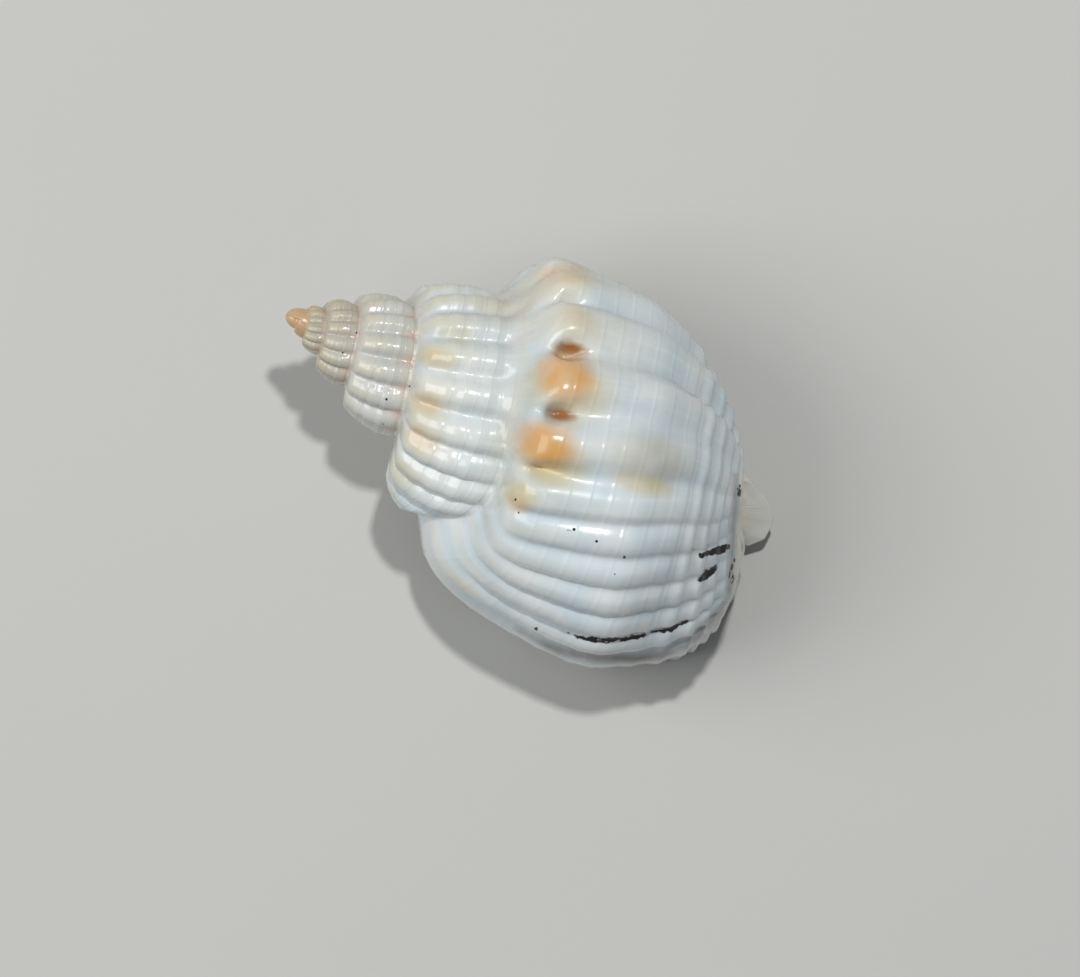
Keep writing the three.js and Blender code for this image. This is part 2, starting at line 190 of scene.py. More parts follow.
def through_points(points, share, closed=False):
    """Centripetal Catmull-Rom curve through points (rows, m, 3), read at the given shares of its way"""
    count = points.shape[1]
    if closed:
        ring = np.concatenate([points[:, -1:], points, points[:, :2]], axis=1)
    else:
        first = 2 * points[:, :1] - points[:, 1:2]
        last = 2 * points[:, -1:] - points[:, -2:-1]
        ring = np.concatenate([first, points, last], axis=1)
    spans = count if closed else count - 1
    way = np.clip(np.asarray(share, float), 0, 1) * spans
    k = np.minimum(way.astype(int), spans - 1)
    t = (way - k)[None, :, None]
    p0, p1, p2, p3 = (ring[:, k + step] for step in range(4))
    steps = (p1 - p0, p2 - p1, p3 - p2)
    knot = [np.linalg.norm(step, axis=-1, keepdims=True) ** 0.5 + 1e-9 for step in steps]
    out = ((p1 - p0) / knot[0] - (p2 - p0) / (knot[0] + knot[1]) + (p2 - p1) / knot[1]) * knot[1]
    into = ((p2 - p1) / knot[1] - (p3 - p1) / (knot[1] + knot[2]) + (p3 - p2) / knot[2]) * knot[1]
    blend = 3 * t ** 2 - 2 * t ** 3
    return p1 * (1 - blend) + p2 * blend + (t ** 3 - 2 * t ** 2 + t) * out + (t ** 3 - t ** 2) * into


# %% [markdown]
# ## The plain whorl
# Cut along the axis, a whorl is a short shoulder and then a long, gently swollen wall. Each turn has the
# same section, only larger, so one formula gives every point of the band, from its turn and its way
# across. The ribs and cords are added later, on top of this plain form.

# %% The plain whorl
def around_axis(turn, radius, down):
    """A point in the shell's own frame: x to the back, y to the lip side, z down the axis"""
    angle = 2 * np.pi * np.asarray(turn)
    return np.stack(np.broadcast_arrays(radius * np.cos(angle), radius * np.sin(angle), down), axis=-1)


def lean_at(turn, across):
    return LEAN * across * follow(LEAN_KEPT, turn)[0]


def whorl_section(turn, t):
    """Distance below the apex and radius of a whorl; t runs from its suture to the next"""
    down, radius = follow(SUTURE, turn)
    next_down, next_radius = follow(SUTURE, turn + 1)
    eased = t ** follow(SHOULDER_EASE, turn)[0]
    swell = follow(BULGE, turn)[0] * follow(BULGE_SHAPE, eased)[0]
    wall = radius + (next_radius - radius) * follow(SHOULDER, eased)[0]
    return down + (next_down - down) * t, wall + swell


def band_point(turn, t, lift=0.0):
    place = turn - lean_at(turn, t)
    down, radius = whorl_section(place, t)
    return around_axis(place, radius + lift, down)


print("radius in the middle of the back:", round(float(whorl_section(0, 0.5)[1]), 2), "mm")


# %% [markdown]
# ## The rows of the mesh
# A row of vertices runs across the band at one moment of growth, and one row follows another round the
# shell. On the last whorl the rows go on past the band, over the base to the siphonal end. The steps
# round a turn are chosen so that a row's last vertex on one turn is a row's first vertex on the next:
# then the sutures close with no gap. Vertices sit closer together near the suture, where the shoulder
# bends most.

# %% The rows
STEPS = 384
LEAN_STEPS = round(LEAN * STEPS)
ONE_TURN = STEPS - LEAN_STEPS
ROWS = 2052
BAND = 27
BASE = 64
BAND_END = 0.5
CROWDING = 1.3

turns = LIP_TURN - (ROWS - np.arange(ROWS + 1)) / STEPS
band_t = np.linspace(0, 1, BAND + 1) ** CROWDING
base_share = np.linspace(0, 1, BASE + 1)
base_turns = turns[ROWS - ONE_TURN:]
print("rows:", ROWS + 1, "from turn", round(float(turns[0]), 2), "to", round(float(turns[-1]), 3))

# %% [markdown]
# ## Ribs
# The ribs of this shell are folds that run across the whorls. On the spire they are even and close. On
# the back of the last whorl they swell into knobs at the shoulder and fade below it, and towards the lip
# they run whole and close together again. Each rib is placed by the angle of its crest, so the crests
# are a list, and one wave runs between each two of them. Its trough is narrower than its ridge, as the
# real grooves are.

# %% Where the ribs are
LAST_RIBS = [-205, -183, -159, -135, -111, -87, -63, -40, -13, 10, 28.5, 40, 51, 61.5, 71.5, 82, 97, 124]
FOURTH_RIBS = [-78, -55, -34, -12, 9, 31, 47, 61.5, 76, 91, 107, 123, 139]
SPIRE_RIB_STEP = 26
RIB_DEPTH = 0.24
SPIRE_RIBS = [[0, 0.9], [0.04, 1], [0.3, 1], [0.42, 0.75], [0.5, 0.3]]
KNOB_HEIGHT = 0.32
CALLUS = 0.35
LIP_SIDE_RIBS = [
    [0, 0], [0.05, 0.1], [0.12, 0.5], [0.25, 0.85], [0.5, 0.85], [0.8, 0.7], [0.92, 0.3], [1, 0],
]
BACK_RIBS = [
    [0, 0], [0.03, 0.2], [0.055, 0.8], [0.085, 1.7], [0.11, 1.25], [0.15, 0.7], [0.2, 0.6], [0.4, 0.65],
    [0.5, 0.9], [0.65, 0.9], [0.85, 0.2], [0.95, 0], [1, 0],
]
LIP_SIDE_SHARE = [[-0.7, 0], [0.03, 0], [0.1, 1], [0.345, 1]]
# Below the pits the grooves are deeper on the far side of the back
BACK_DEPTH = [[-0.7, 1], [-0.45, 1.4], [-0.14, 1.6], [-0.073, 1.35], [0, 0.85], [0.03, 1], [0.345, 1]]
BELOW_PITS = (0.14, 0.26)
KNOB_SPREAD = [[-0.7, 0], [-0.4, 1.6], [-0.25, 1.4], [-0.1, 1], [0.05, 1], [0.12, 0.3], [0.2, 0]]
KNOB_SHAPE = [[0, 0], [0.02, 0.35], [0.075, 1], [0.13, 0.75], [0.2, 0.3], [0.28, 0], [1, 0]]
# How wide a trough is, as a share of the way to the crest: a narrow pit between two knobs, a broad dip
# below them
TROUGH_WIDTH = 0.75
BACK_TROUGHS = [[0, 0.65], [0.03, 0.5], [0.1, 0.5], [0.18, 0.95], [0.3, 1.3], [0.5, 1], [1, 1]]
CALLUS_SPREAD = [[-0.72, 0], [-0.6, 1], [-0.46, 1], [-0.38, 0]]
CALLUS_EDGE = 0.2
BEAD_START = 0.05
HAIR = 1e-6
SMOOTH_TIP = (-4.6, -4.15)

crest_turns = [angle / 360 - 1 for angle in FOURTH_RIBS] + [angle / 360 for angle in LAST_RIBS]
while crest_turns[0] > turns[0] - 1:
    crest_turns.insert(0, crest_turns[0] - SPIRE_RIB_STEP / 360)
crest_turns = np.array(crest_turns)


def rib_at(turn, radius, trough):
    """Rib spacing as a length, and how near a turn is to a crest: 1 on a crest, 0 in a trough"""
    k = np.clip(np.searchsorted(crest_turns, turn, side="right") - 1, 0, len(crest_turns) - 2)
    spacing = crest_turns[k + 1] - crest_turns[k]
    phase = np.clip((turn - crest_turns[k]) / spacing, 0, 1)
    from_trough = (np.cos(np.pi * phase) / trough) ** 2
    crest = (1 - np.exp(-from_trough)) / (1 - np.exp(-1 / trough ** 2))
    return np.minimum(spacing, SPIRE_RIB_STEP / 360) * 2 * np.pi * radius, crest


def relief(turn, across, radius):
    """Height of the ribs, knobs and callus over the plain whorl, and the crest wave"""
    on_back = (turn > base_turns[0]) * (1 - follow(LIP_SIDE_SHARE, turn)[0])
    trough = TROUGH_WIDTH + (follow(BACK_TROUGHS, across)[0] - TROUGH_WIDTH) * on_back
    width, crest = rib_at(turn, radius, trough)
    groove = RIB_DEPTH * width * (1 - crest)
    bead = crest * follow(SPIRE_RIBS, across)[0] - 1
    on_spire = RIB_DEPTH * width * bead * np.minimum(1, across / BEAD_START) * smooth(turn, *SMOOTH_TIP)
    covered = follow(CALLUS_SPREAD, turn)[0]
    whole = follow(LIP_SIDE_SHARE, turn)[0]
    depth = 1 + (follow(BACK_DEPTH, turn)[0] - 1) * smooth(across, *BELOW_PITS)
    reach = follow(BACK_RIBS, across)[0] * depth * (1 - whole) + follow(LIP_SIDE_RIBS, across)[0] * whole
    knob = KNOB_HEIGHT * crest * follow(KNOB_SPREAD, turn)[0] * follow(KNOB_SHAPE, across)[0]
    glaze = CALLUS * covered * np.minimum(1, np.minimum(across, 1 - across) / CALLUS_EDGE)
    on_last = (knob - groove * reach) * (1 - covered) + glaze
    return np.where(turn < base_turns[0] - HAIR, on_spire, on_last), crest


print("ribs in all:", len(crest_turns), "on the last two whorls:", len(LAST_RIBS) + len(FOURTH_RIBS))

# %% [markdown]
# ## The band and its sutures
# The band lies turn on turn, and each turn hides the edge of the one before it. The ribs differ from
# turn to turn, so the first columns of a turn are moved onto the edge above them, which keeps the suture
# closed. On the back the snail spread a thin coat over the last suture and rounded its corner. A bevel
# can't follow such a crooked seam, so the columns beside it are evened out a few times instead.

# %% The band of every whorl
T, A = turns[:, None], band_t[None, :]
band_radius = whorl_section(T, A)[1]
lift, band_crest = relief(T, A * BAND_END, band_radius)
# On the back the ribs end short of the last suture, which is glazed over
GLAZED_FROM, GLAZED_TO, GLAZED_LIFT = 0.8, 1.0, 0.05
SUTURE_BLEND = 0.12
GLAZE_SPREAD = [[-5, 0], [-1.4, 0], [-1.2, 1], [-0.98, 1], [-0.92, 0.35], [-0.87, 0], [0.35, 0]]
glazed = follow(GLAZE_SPREAD, T)[0]
lift += (GLAZED_LIFT - lift) * smooth(A, GLAZED_FROM, GLAZED_TO) * glazed
band = band_point(T, A, lift)
joined = band[:-ONE_TURN, -1] - band[ONE_TURN:, 0]
band[ONE_TURN:] += joined[:, None, :] * (1 - smooth(band_t, 0, SUTURE_BLEND))[None, :, None]
print("band sheet", band.shape)

# %% Glaze in the last suture
COLUMNS_ABOVE, COLUMNS_BELOW = 8, 6
GLAZE_PASSES = 9
above = band[:-ONE_TURN, -1 - COLUMNS_ABOVE:-1]
below = band[ONE_TURN:, :COLUMNS_BELOW + 1]
strip = np.concatenate([above, below], axis=1)
rising, falling = np.linspace(0, 1, COLUMNS_ABOVE + 1), np.linspace(1, 0, COLUMNS_BELOW + 1)
nearness = np.concatenate([rising, falling[1:]])
share = 0.5 * glazed[:-ONE_TURN] * nearness[1:-1]
for _ in range(GLAZE_PASSES):
    pull = (strip[:, :-2] + strip[:, 2:]) / 2 - strip[:, 1:-1]
    strip[:, 1:-1] += pull * share[..., None]
band[:-ONE_TURN, -1 - COLUMNS_ABOVE:] = strip[:, :COLUMNS_ABOVE + 1]
band[ONE_TURN:, :COLUMNS_BELOW + 1] = strip[:, COLUMNS_ABOVE:]
print("rows with a glazed suture:", int((share[:, 0] > 0).sum()))

# %% [markdown]
# ## The base
# Below the band the last whorl bends in to the siphonal end, where the snail's breathing tube came out.
# The section there is no longer a wall that only grows, so each row is a curve through five points: two
# on the band, two down the base, and one on the edge of the canal.

# %% The base of the last whorl
near = follow(BASE_NEAR, base_turns)
far = follow(BASE_FAR, base_turns)
base_keys = np.stack([
    band_point(base_turns, 0.75),
    band_point(base_turns, 1.0),
    around_axis(near[2] / 360, near[1], near[0]),
    around_axis(far[2] / 360, far[1], far[0]),
    follow(CANAL_EDGE, base_turns).T,
], axis=1)
base = through_points(base_keys, 0.25 + 0.75 * base_share)
base_radius = np.linalg.norm(base[..., :2], axis=-1)
base_across = BAND_END + base_share[None, :] * (1 - BAND_END)
lift, base_crest = relief(base_turns[:, None], base_across, base_radius)
# The edge of the canal stays where it is
lift[:, -1] = 0
outward = base[..., :2] / base_radius[..., None]
base[..., :2] += outward * lift[..., None]
base[:, 0] = band[ROWS - ONE_TURN:, -1]
print("base sheet", base.shape)

# %% [markdown]
# ## Spiral cords
# Fine cords run round the whorls and cross the ribs. They are faint on the back and grow into a ladder of
# strong, blocky cords near the siphonal end. Cords are low, so they push the surface straight out along
# its own normal. They are placed by how far down the back they lie, which is where they can be counted.

# %% The cords
CORDS_DOWN = [13.4, 14.4, 15.2, 15.9, 16.5, 17.5, 18.7, 19.7, 20.6, 21.6, 22.5, 23.2, 23.8, 24.35, 24.85]
CORD_HEIGHT = [
    [0, 0], [12.5, 0], [14, 0.02], [18, 0.04], [19.7, 0.06], [21.6, 0.12], [24.3, 0.15], [25.2, 0],
    [30, 0],
]
CORD_NARROW = 1.6
CORDS_START = 0.1
THREADS = 5
THREAD_HEIGHT = 0.012
THREADS_START, THREADS_END = 0.15, 0.9


def normals_of(sheet):
    """Unit normals of a sheet of points, from the way its rows and columns run, pointing off the axis"""
    along = np.gradient(sheet, axis=0)
    over = np.gradient(sheet, axis=1)
    normal = np.cross(over, along)
    normal /= np.linalg.norm(normal, axis=-1, keepdims=True) + 1e-12
    outward = sheet[..., 0] * normal[..., 0] + sheet[..., 1] * normal[..., 1]
    return normal * np.where(np.median(outward) < 0, -1, 1)


def cord_wave(down):
    """1 on a cord, 0 between two"""
    number = np.interp(down, CORDS_DOWN, np.arange(len(CORDS_DOWN)))
    return (0.5 + 0.5 * np.cos(2 * np.pi * number)) ** CORD_NARROW


back_row = int(round((0 - base_turns[0]) * STEPS))
base_down = np.broadcast_to(base[back_row, :, 2], base.shape[:2])
band_down = np.broadcast_to(band[ROWS - ONE_TURN + back_row, :, 2], band[ROWS - ONE_TURN:].shape[:2])
open_share = (1 - follow(CALLUS_SPREAD, base_turns)[0])[:, None]
base_cord = cord_wave(base_down) * open_share
band_cord = cord_wave(band_down) * open_share
base_rise = base_cord * follow(CORD_HEIGHT, base_down)[0] * (base_share < 1)
base += normals_of(base) * base_rise[..., None]
thread = 0.5 + 0.5 * np.cos(2 * np.pi * (band_t * THREADS + 0.5))
thread = thread * smooth(band_t, 0, THREADS_START) * (1 - smooth(band_t, THREADS_END, 1))
spire_rows = slice(0, ROWS - ONE_TURN)
spire_normal = normals_of(band[spire_rows])
size = (follow(SUTURE, turns[spire_rows] + 1)[0] - follow(SUTURE, turns[spire_rows])[0])[:, None]
band[spire_rows] += spire_normal * (thread[None, :] * THREAD_HEIGHT * size)[..., None]
last = slice(ROWS - ONE_TURN, ROWS + 1)
band_rise = band_cord * follow(CORD_HEIGHT, band_down)[0] * smooth(band_t, 0, CORDS_START)
band[last] += normals_of(band[last]) * band_rise[..., None]
# The sheets keep their shared edges, also where the lip starts on the whorl before it
band[ROWS - ONE_TURN, -1] = band[ROWS, 0]
base[:, 0] = band[last, -1]
print("cords on the last whorl:", len(CORDS_DOWN))

# %% [markdown]
# ## The mouth
# Behind the lip the shell is hollow. The mouth's rim runs down the outer lip, round the siphonal canal
# and back up the inner lip. A boolean cut would leave a sharp edge there, and the real lip is rounded,
# with a row of small teeth just inside it. So the hollow is a tunnel of rings that starts on the rim:
# the first rings turn over in a half circle, and the others follow the whorl inwards.

# %% The rim and the rings of the hollow
CANAL_FROM, CANAL_TO = 0.56, 0.68
CANAL_POINTS = 36
MOUTH_RIM = [[0, 0.5], [0.08, 1], [0.46, 1], [CANAL_FROM, 0.3], [CANAL_TO, 0.3], [1, 0.5]]
LIP_ROLL = 0.16
HOLLOW_END = 0.5
TEETH = 11
TOOTH_HEIGHT = 0.28

lip_row = np.concatenate([band[-1], base[-1, 1:]])
canal_row = base[:-1, -1][::-1]
inner_row = base[0, :-1][::-1]
rim = np.concatenate([lip_row, canal_row, inner_row])
canal_group = np.round((np.arange(len(canal_row)) + 1) / len(canal_row) * CANAL_POINTS) / CANAL_POINTS
rim_place = np.concatenate([
    CANAL_FROM * np.arange(len(lip_row)) / (len(lip_row) - 1),
    CANAL_FROM + (CANAL_TO - CANAL_FROM) * canal_group,
    CANAL_TO + (1 - CANAL_TO) * (np.arange(len(inner_row)) + 0.6) / (len(inner_row) + 0.2),
])
centre = rim.mean(axis=0)


def hollow_outline(depth):
    """Closed outline of the hollow in the half plane at a depth in turns, as radius and distance down"""
    turn = LIP_TURN - depth
    top, suture_radius = follow(SUTURE, turn)
    near_down, near_radius, _ = follow(BASE_NEAR, turn)
    far_down, far_radius, _ = follow(BASE_FAR, turn)
    foot = far_down - 2 - 4 * depth
    height = foot - top

    def inside(t, drop):
        down, radius = whorl_section(turn, t)
        return radius - WALL, down + drop

    return np.array([
        (suture_radius * 0.98, top + 1.6 * WALL),
        inside(0.16, 0.6 * WALL),
        inside(0.4, 0),
        inside(0.7, 0),
        inside(1, -0.5 * WALL),
        (near_radius - 1.3 * WALL, near_down - WALL),
        (0.5 * far_radius + 0.8, foot + 0.5),
        (0.2 * far_radius + COLUMELLA, foot),
        (COLUMELLA, top + 0.8 * height),
        (COLUMELLA + 0.2, top + 0.6 * height),
        (0.4 * suture_radius + 0.5, top + 0.42 * height),
        (0.8 * suture_radius, top + 0.26 * height),
    ])


def hollow_ring(depth, blend, inset):
    """One ring of the hollow, between the rim moved in by a share of the lip and the outline"""
    to_centre = centre - rim
    to_centre /= np.linalg.norm(to_centre, axis=-1, keepdims=True)
    width = inset * LIP_THICKNESS * follow(MOUTH_RIM, rim_place)[0]
    edge = rim + to_centre * width[:, None]
    outline = np.zeros((1, 12, 3))
    outline[0, :, :2] = hollow_outline(depth)
    spot = through_points(outline, rim_place, closed=True)[0]
    return edge * (1 - blend) + around_axis(LIP_TURN - depth, spot[:, 0], spot[:, 1]) * blend


TURN_OVER = [30, 60, 90, 120, 150, 180]
DEPTHS = [[0.01, 0.02], [0.03, 0.25], [0.06, 0.6], [0.1, 0.9], [0.15, 1], [HOLLOW_END, 1]]
RING_DEPTHS = np.concatenate([np.linspace(0.016, 0.15, 12), np.linspace(0.18, HOLLOW_END, 10)])
# The teeth rise behind the rim and fade further in
TEETH_RISE, TEETH_FADE = (0.012, 0.04), (0.06, 0.16)
LIP_STARTS, LIP_ENDS = (0.0, 0.06), (0.5, CANAL_FROM)
rings = [rim]
on_lip = smooth(rim_place, *LIP_STARTS) * (1 - smooth(rim_place, *LIP_ENDS))
forward = np.stack([-np.sin(2 * np.pi * LIP_TURN), np.cos(2 * np.pi * LIP_TURN), 0])
for angle in TURN_OVER:
    inset = 0.5 - 0.5 * math.cos(math.radians(angle))
    ring = hollow_ring(DEPTHS[0][0] * inset, DEPTHS[0][1] * inset, inset)
    rings.append(ring + forward * (LIP_ROLL * math.sin(math.radians(angle)) * on_lip)[:, None])
for depth in RING_DEPTHS:
    ring = hollow_ring(depth, follow(DEPTHS, depth)[0], 1.0)
    tooth = 0.5 + 0.5 * np.cos(2 * np.pi * TEETH * rim_place / CANAL_FROM)
    strength = TOOTH_HEIGHT * smooth(depth, *TEETH_RISE) * (1 - smooth(depth, *TEETH_FADE)) * on_lip
    to_centre = ring.mean(axis=0) - ring
    to_centre /= np.linalg.norm(to_centre, axis=-1, keepdims=True)
    rings.append(ring + to_centre * (tooth * strength)[:, None])
rings.append(np.broadcast_to(rings[-1].mean(axis=0), rim.shape))
hollow = np.stack(rings)
hollow = np.concatenate([hollow, hollow[:, :1]], axis=1)
print("hollow sheet", hollow.shape)

# %% [markdown]
# ## The tip
# The oldest part of the shell is a tiny smooth dome. It closes the top of the first whorl: rings shrink
# from the edge of the first turn to one point.

# %% The dome of the tip
tip_edge = np.concatenate([band[:ONE_TURN + 1, 0], band[0, :-1][::-1]])
DOME_STEP = 9
dome = []
for angle in np.radians(np.arange(90, -1, -DOME_STEP)):
    dome.append(tip_edge * (math.sin(angle), math.sin(angle), 1 - math.cos(angle)))
dome = np.stack(dome)
print("dome sheet", dome.shape)

# %% [markdown]
# ## From sheets to one skin
# Each sheet is a grid primitive with one vertex for each place in the sheet. Its vertices are moved to
# their places, the sheets are joined, and vertices that lie on each other are merged, which closes the
# skin. Colours will need to know where on the shell a point lies, so each sheet also carries the turn
# and the way across as a UV map, and a few masks as vertex attributes.


# %% The sheets as meshes
def to_world(points):
    """From the shell's own frame to the world: mouth down, the tip raised, worn flat where it lies"""
    x, y, z = np.moveaxis(points, -1, 0)
    world = np.stack([
        z * math.cos(AXIS_TILT) + x * math.sin(AXIS_TILT) - MIDDLE[0],
        -y - MIDDLE[1],
        np.maximum(0, x * math.cos(AXIS_TILT) - z * math.sin(AXIS_TILT) - FLOOR_LEVEL),
    ], axis=-1)
    return world * MM


def add_sheet(name, points, uv, masks):
    """A grid primitive moved onto the points (rows, columns, 3), with a UV map and vertex masks"""
    rows, columns = points.shape[:2]
    bpy.ops.object.select_all(action="DESELECT")
    bpy.ops.mesh.primitive_grid_add(x_subdivisions=columns - 1, y_subdivisions=rows - 1, size=1)
    sheet = bpy.context.active_object
    sheet.name = name
    mesh = sheet.data
    flat = np.empty(len(mesh.vertices) * 3, np.float32)
    mesh.vertices.foreach_get("co", flat)
    flat = flat.reshape(-1, 3)
    column = np.rint((flat[:, 0] + 0.5) * (columns - 1)).astype(int)
    row = np.rint((flat[:, 1] + 0.5) * (rows - 1)).astype(int)
    mesh.vertices.foreach_set("co", to_world(points)[row, column].astype(np.float32).ravel())
    corner = np.empty(len(mesh.loops), np.int32)
    mesh.loops.foreach_get("vertex_index", corner)
    layer = mesh.uv_layers[0]
    layer.name = "growth"
    layer.uv.foreach_set("vector", uv[row, column][corner].astype(np.float32).ravel())
    for mask, values in masks.items():
        attribute = mesh.attributes.new(mask, "FLOAT", "POINT")
        values = np.broadcast_to(values, (rows, columns))[row, column]
        attribute.data.foreach_set("value", values.astype(np.float32))
    mesh.update()
    return sheet


def growth_uv(turn, across):
    return np.stack(np.broadcast_arrays(turn, across), axis=-1)


# %% [markdown]
# ## Where the colours are
# A shell's colours were laid down while it grew, so they keep to its ribs and sutures, and wear and mud
# added the rest. A painted picture could hold them, but here each colour is a mask: a number at every
# vertex that says how much of it there is. Some masks follow the growth, such as the cream that lies on
# the crests. The others are spots, given as the shell is seen from above: how far along the shell from
# its tip, and how far sideways towards the lip, in millimetres.
# Three masks near the siphonal end are painted light: darkened patches and a dark groove line of painted
# shade, and a cream ridge that is lightened as a painted highlight.

# %% Seen from above
TIP_SHIFT = -0.168
STROKE_REACH = 0.4
# A spot fades out between these shares of its half length and half width
SPOT_EDGE = (0.45, 1.45)
# What lies lower than this under the axis isn't seen from above
LOWEST_SEEN = -4.5


def from_above(points):
    """Distance along the shell, and distance towards the lip"""
    x, y, z = np.moveaxis(points, -1, 0)
    return z * math.cos(AXIS_TILT) + x * math.sin(AXIS_TILT) + TIP_SHIFT, y


def higher_than(points, lowest):
    """1 over a height in the shell's own frame, and 0 under it"""
    return smooth(points[..., 0], lowest, lowest + 1)


def spots(points, ovals):
    """Soft oval spots: [along, sideways, half length, half width, slant in degrees, strength]"""
    along, side = from_above(points)
    found = np.zeros(along.shape)
    for middle, across, half_length, half_width, slant, strength in ovals:
        cos, sin = math.cos(math.radians(slant)), math.sin(math.radians(slant))
        ahead = ((along - middle) * cos + (side - across) * sin) / half_length
        beside = ((side - across) * cos - (along - middle) * sin) / half_width
        found = np.maximum(found, strength * (1 - smooth(np.hypot(ahead, beside), *SPOT_EDGE)))
    return found * higher_than(points, LOWEST_SEEN)


def strokes(points, lines, lowest=LOWEST_SEEN):
    """Drawn lines of [along, sideways, half width]: 0.5 on a line's edge and 1 well inside it"""
    along, side = from_above(points)
    found = np.zeros(along.shape)
    for line in lines:
        for (x0, y0, w0), (x1, y1, w1) in zip(line[:-1], line[1:]):
            length = math.hypot(x1 - x0, y1 - y0)
            share = np.clip(((along - x0) * (x1 - x0) + (side - y0) * (y1 - y0)) / length ** 2, 0, 1)
            away = np.hypot(along - x0 - share * (x1 - x0), side - y0 - share * (y1 - y0))
            found = np.maximum(found, np.clip(0.5 + (w0 + share * (w1 - w0) - away) / STROKE_REACH, 0, 1))
    return found * higher_than(points, lowest)


tip, siphonal_end = from_above(band)[0].min(), from_above(base)[0].max()
print("along the shell from", round(float(tip), 2), "to", round(float(siphonal_end), 2), "mm")


# %% The spots of the shell
ORANGE_SPOTS = [
    [14.15, -2.55, 1.35, 1.2, 10, 1], [14.55, 1.0, 1.45, 1.1, -5, 1], [8.1, 1.4, 0.8, 0.4, 0, 0.35],
    [8.5, 3.2, 0.9, 0.4, 5, 0.3], [7.8, -0.8, 0.6, 0.4, 0, 0.12], [13.4, -5.6, 1.0, 0.6, 20, 0.15],
    [12.0, -7.3, 1.3, 0.5, -25, 0.35], [14.4, 4.3, 0.55, 0.45, 0, 0.35],
]
YELLOW_SPOTS = [
    [14.7, -2.1, 1.9, 1.5, 0, 0.8], [15.0, 1.6, 1.9, 1.4, 0, 0.9], [14.2, -3.7, 1.2, 0.8, 0, 0.6],
    [14.9, -0.6, 1.0, 0.6, 0, 0.5], [13.6, -5.1, 1.4, 0.9, 15, 0.4], [14.2, 3.9, 1.0, 0.8, 0, 0.8],
    [19.8, 0.95, 1.5, 0.55, -8, 0.75], [12.0, -6.9, 1.8, 0.9, -30, 0.6], [8.2, 1.4, 1.2, 0.8, 0, 0.6],
    [8.6, 3.2, 1.2, 0.7, 5, 0.6], [7.9, -0.9, 1.0, 0.6, -10, 0.6], [8.2, -2.4, 0.9, 0.5, -20, 0.4],
    [8.3, 5.0, 1.0, 0.5, 20, 0.5], [13.4, 9.2, 0.9, 0.25, 10, 0.35], [9.2, -4.5, 1.2, 0.4, -10, 0.4],
]
WARM_SPOTS = [
    [19.6, -0.3, 1.9, 1.3, -10, 0.8], [16.0, -5.2, 2.5, 1.0, 0, 0.3], [12.6, -0.4, 0.7, 3.4, 8, 0.5],
    [10.6, -5.0, 2.2, 1.0, -30, 0.4],
]
# Painted shade: the base near the siphonal end and the hollow behind its ridge are darkened where less light
# reaches them
PAINTED_SHADE_SPOTS = [
    [25.85, 2.1, 0.35, 0.9, -15, 0.5], [26.1, 3.9, 0.3, 1.0, 0, 0.6], [25.5, 6.8, 0.5, 1.6, 20, 0.4],
    [23.6, 5.0, 2.0, 5.0, 15, 0.3],
]
PIT_SPOTS = [[13.85, -3.97, 0.75, 0.32, -12, 1], [14.7, -0.68, 0.75, 0.3, -15, 1]]
# The edge of the outer lip is brown, also where it turns under
LIP_SHADE = [[
    [16.9, 10.2, 0.05], [19, 10.4, 0.2], [21, 10.0, 0.2], [23, 9.25, 0.2], [24.2, 8.6, 0.2],
    [25.3, 7.3, 0.15], [25.9, 5.6, 0.15], [26.2, 4.4, 0.05],
]]
LOWEST_LIP = -12
# A cream ridge parts the base from the siphonal end; its line is also lightened as a painted highlight, as
# the mesh has no ridge
CREAM_RIDGE_AND_HIGHLIGHT = [[
    [24.4, -1.5, 0.1], [25.0, 0, 0.14], [25.3, 1, 0.16], [25.7, 2, 0.16], [26.0, 2.9, 0.14],
    [26.35, 4.2, 0.1],
]]
# The thin groove beside it is a dark line of painted shade, as the mesh has no groove there
PAINTED_GROOVE_SHADE = [[
    [24.0, -1.3, 0.04], [24.6, 0.1, 0.1], [24.9, 1.1, 0.1], [25.3, 2.1, 0.1], [25.6, 3.0, 0.1],
    [26, 4.2, 0.04],
]]
MUD = [
    [[19.3, 9.42, 0.06], [20.0, 9.32, 0.14], [21.2, 8.98, 0.15], [22.0, 8.55, 0.1], [22.75, 8.08, 0.16]],
    [[22.75, 8.08, 0.16], [23.0, 7.9, 0.06]], [[23.2, 7.7, 0.08], [24.0, 7.18, 0.16], [24.6, 6.45, 0.08]],
    [[23.95, 3.1, 0.16], [24.3, 2.85, 0.12], [24.6, 2.6, 0.24], [25.05, 2.2, 0.15]],
    [[24.35, 4.3, 0.15], [24.6, 3.9, 0.22], [24.9, 3.4, 0.13]],
    [[24.4, -0.9, 0.06], [24.55, -0.6, 0.12], [24.6, -0.4, 0.08]],
    [[25.6, 2.6, 0.06], [25.7, 3.6, 0.08]], [[25.9, 3.4, 0.06], [25.95, 3.8, 0.06]],
    [[17.15, 4.55, 0.05], [17.5, 4.4, 0.1]], [[6.3, 3.15, 0.03], [6.65, 3.3, 0.06]],
]
# Along, sideways, radius
SPECKS = [
    [17.5, 4.4, 0.09], [18.8, 4.5, 0.08], [20.4, 4.7, 0.08], [17.7, 9.8, 0.1], [6.2, 2.0, 0.07],
    [3.5, -0.5, 0.05], [7.05, 0.95, 0.06], [14.2, 4.15, 0.06], [14.6, 4.7, 0.06], [20.3, 5.7, 0.04],
    [3.25, 0.7, 0.05],
]
print("orange spots:", len(ORANGE_SPOTS), "yellow spots:", len(YELLOW_SPOTS), "mud strokes:", len(MUD))

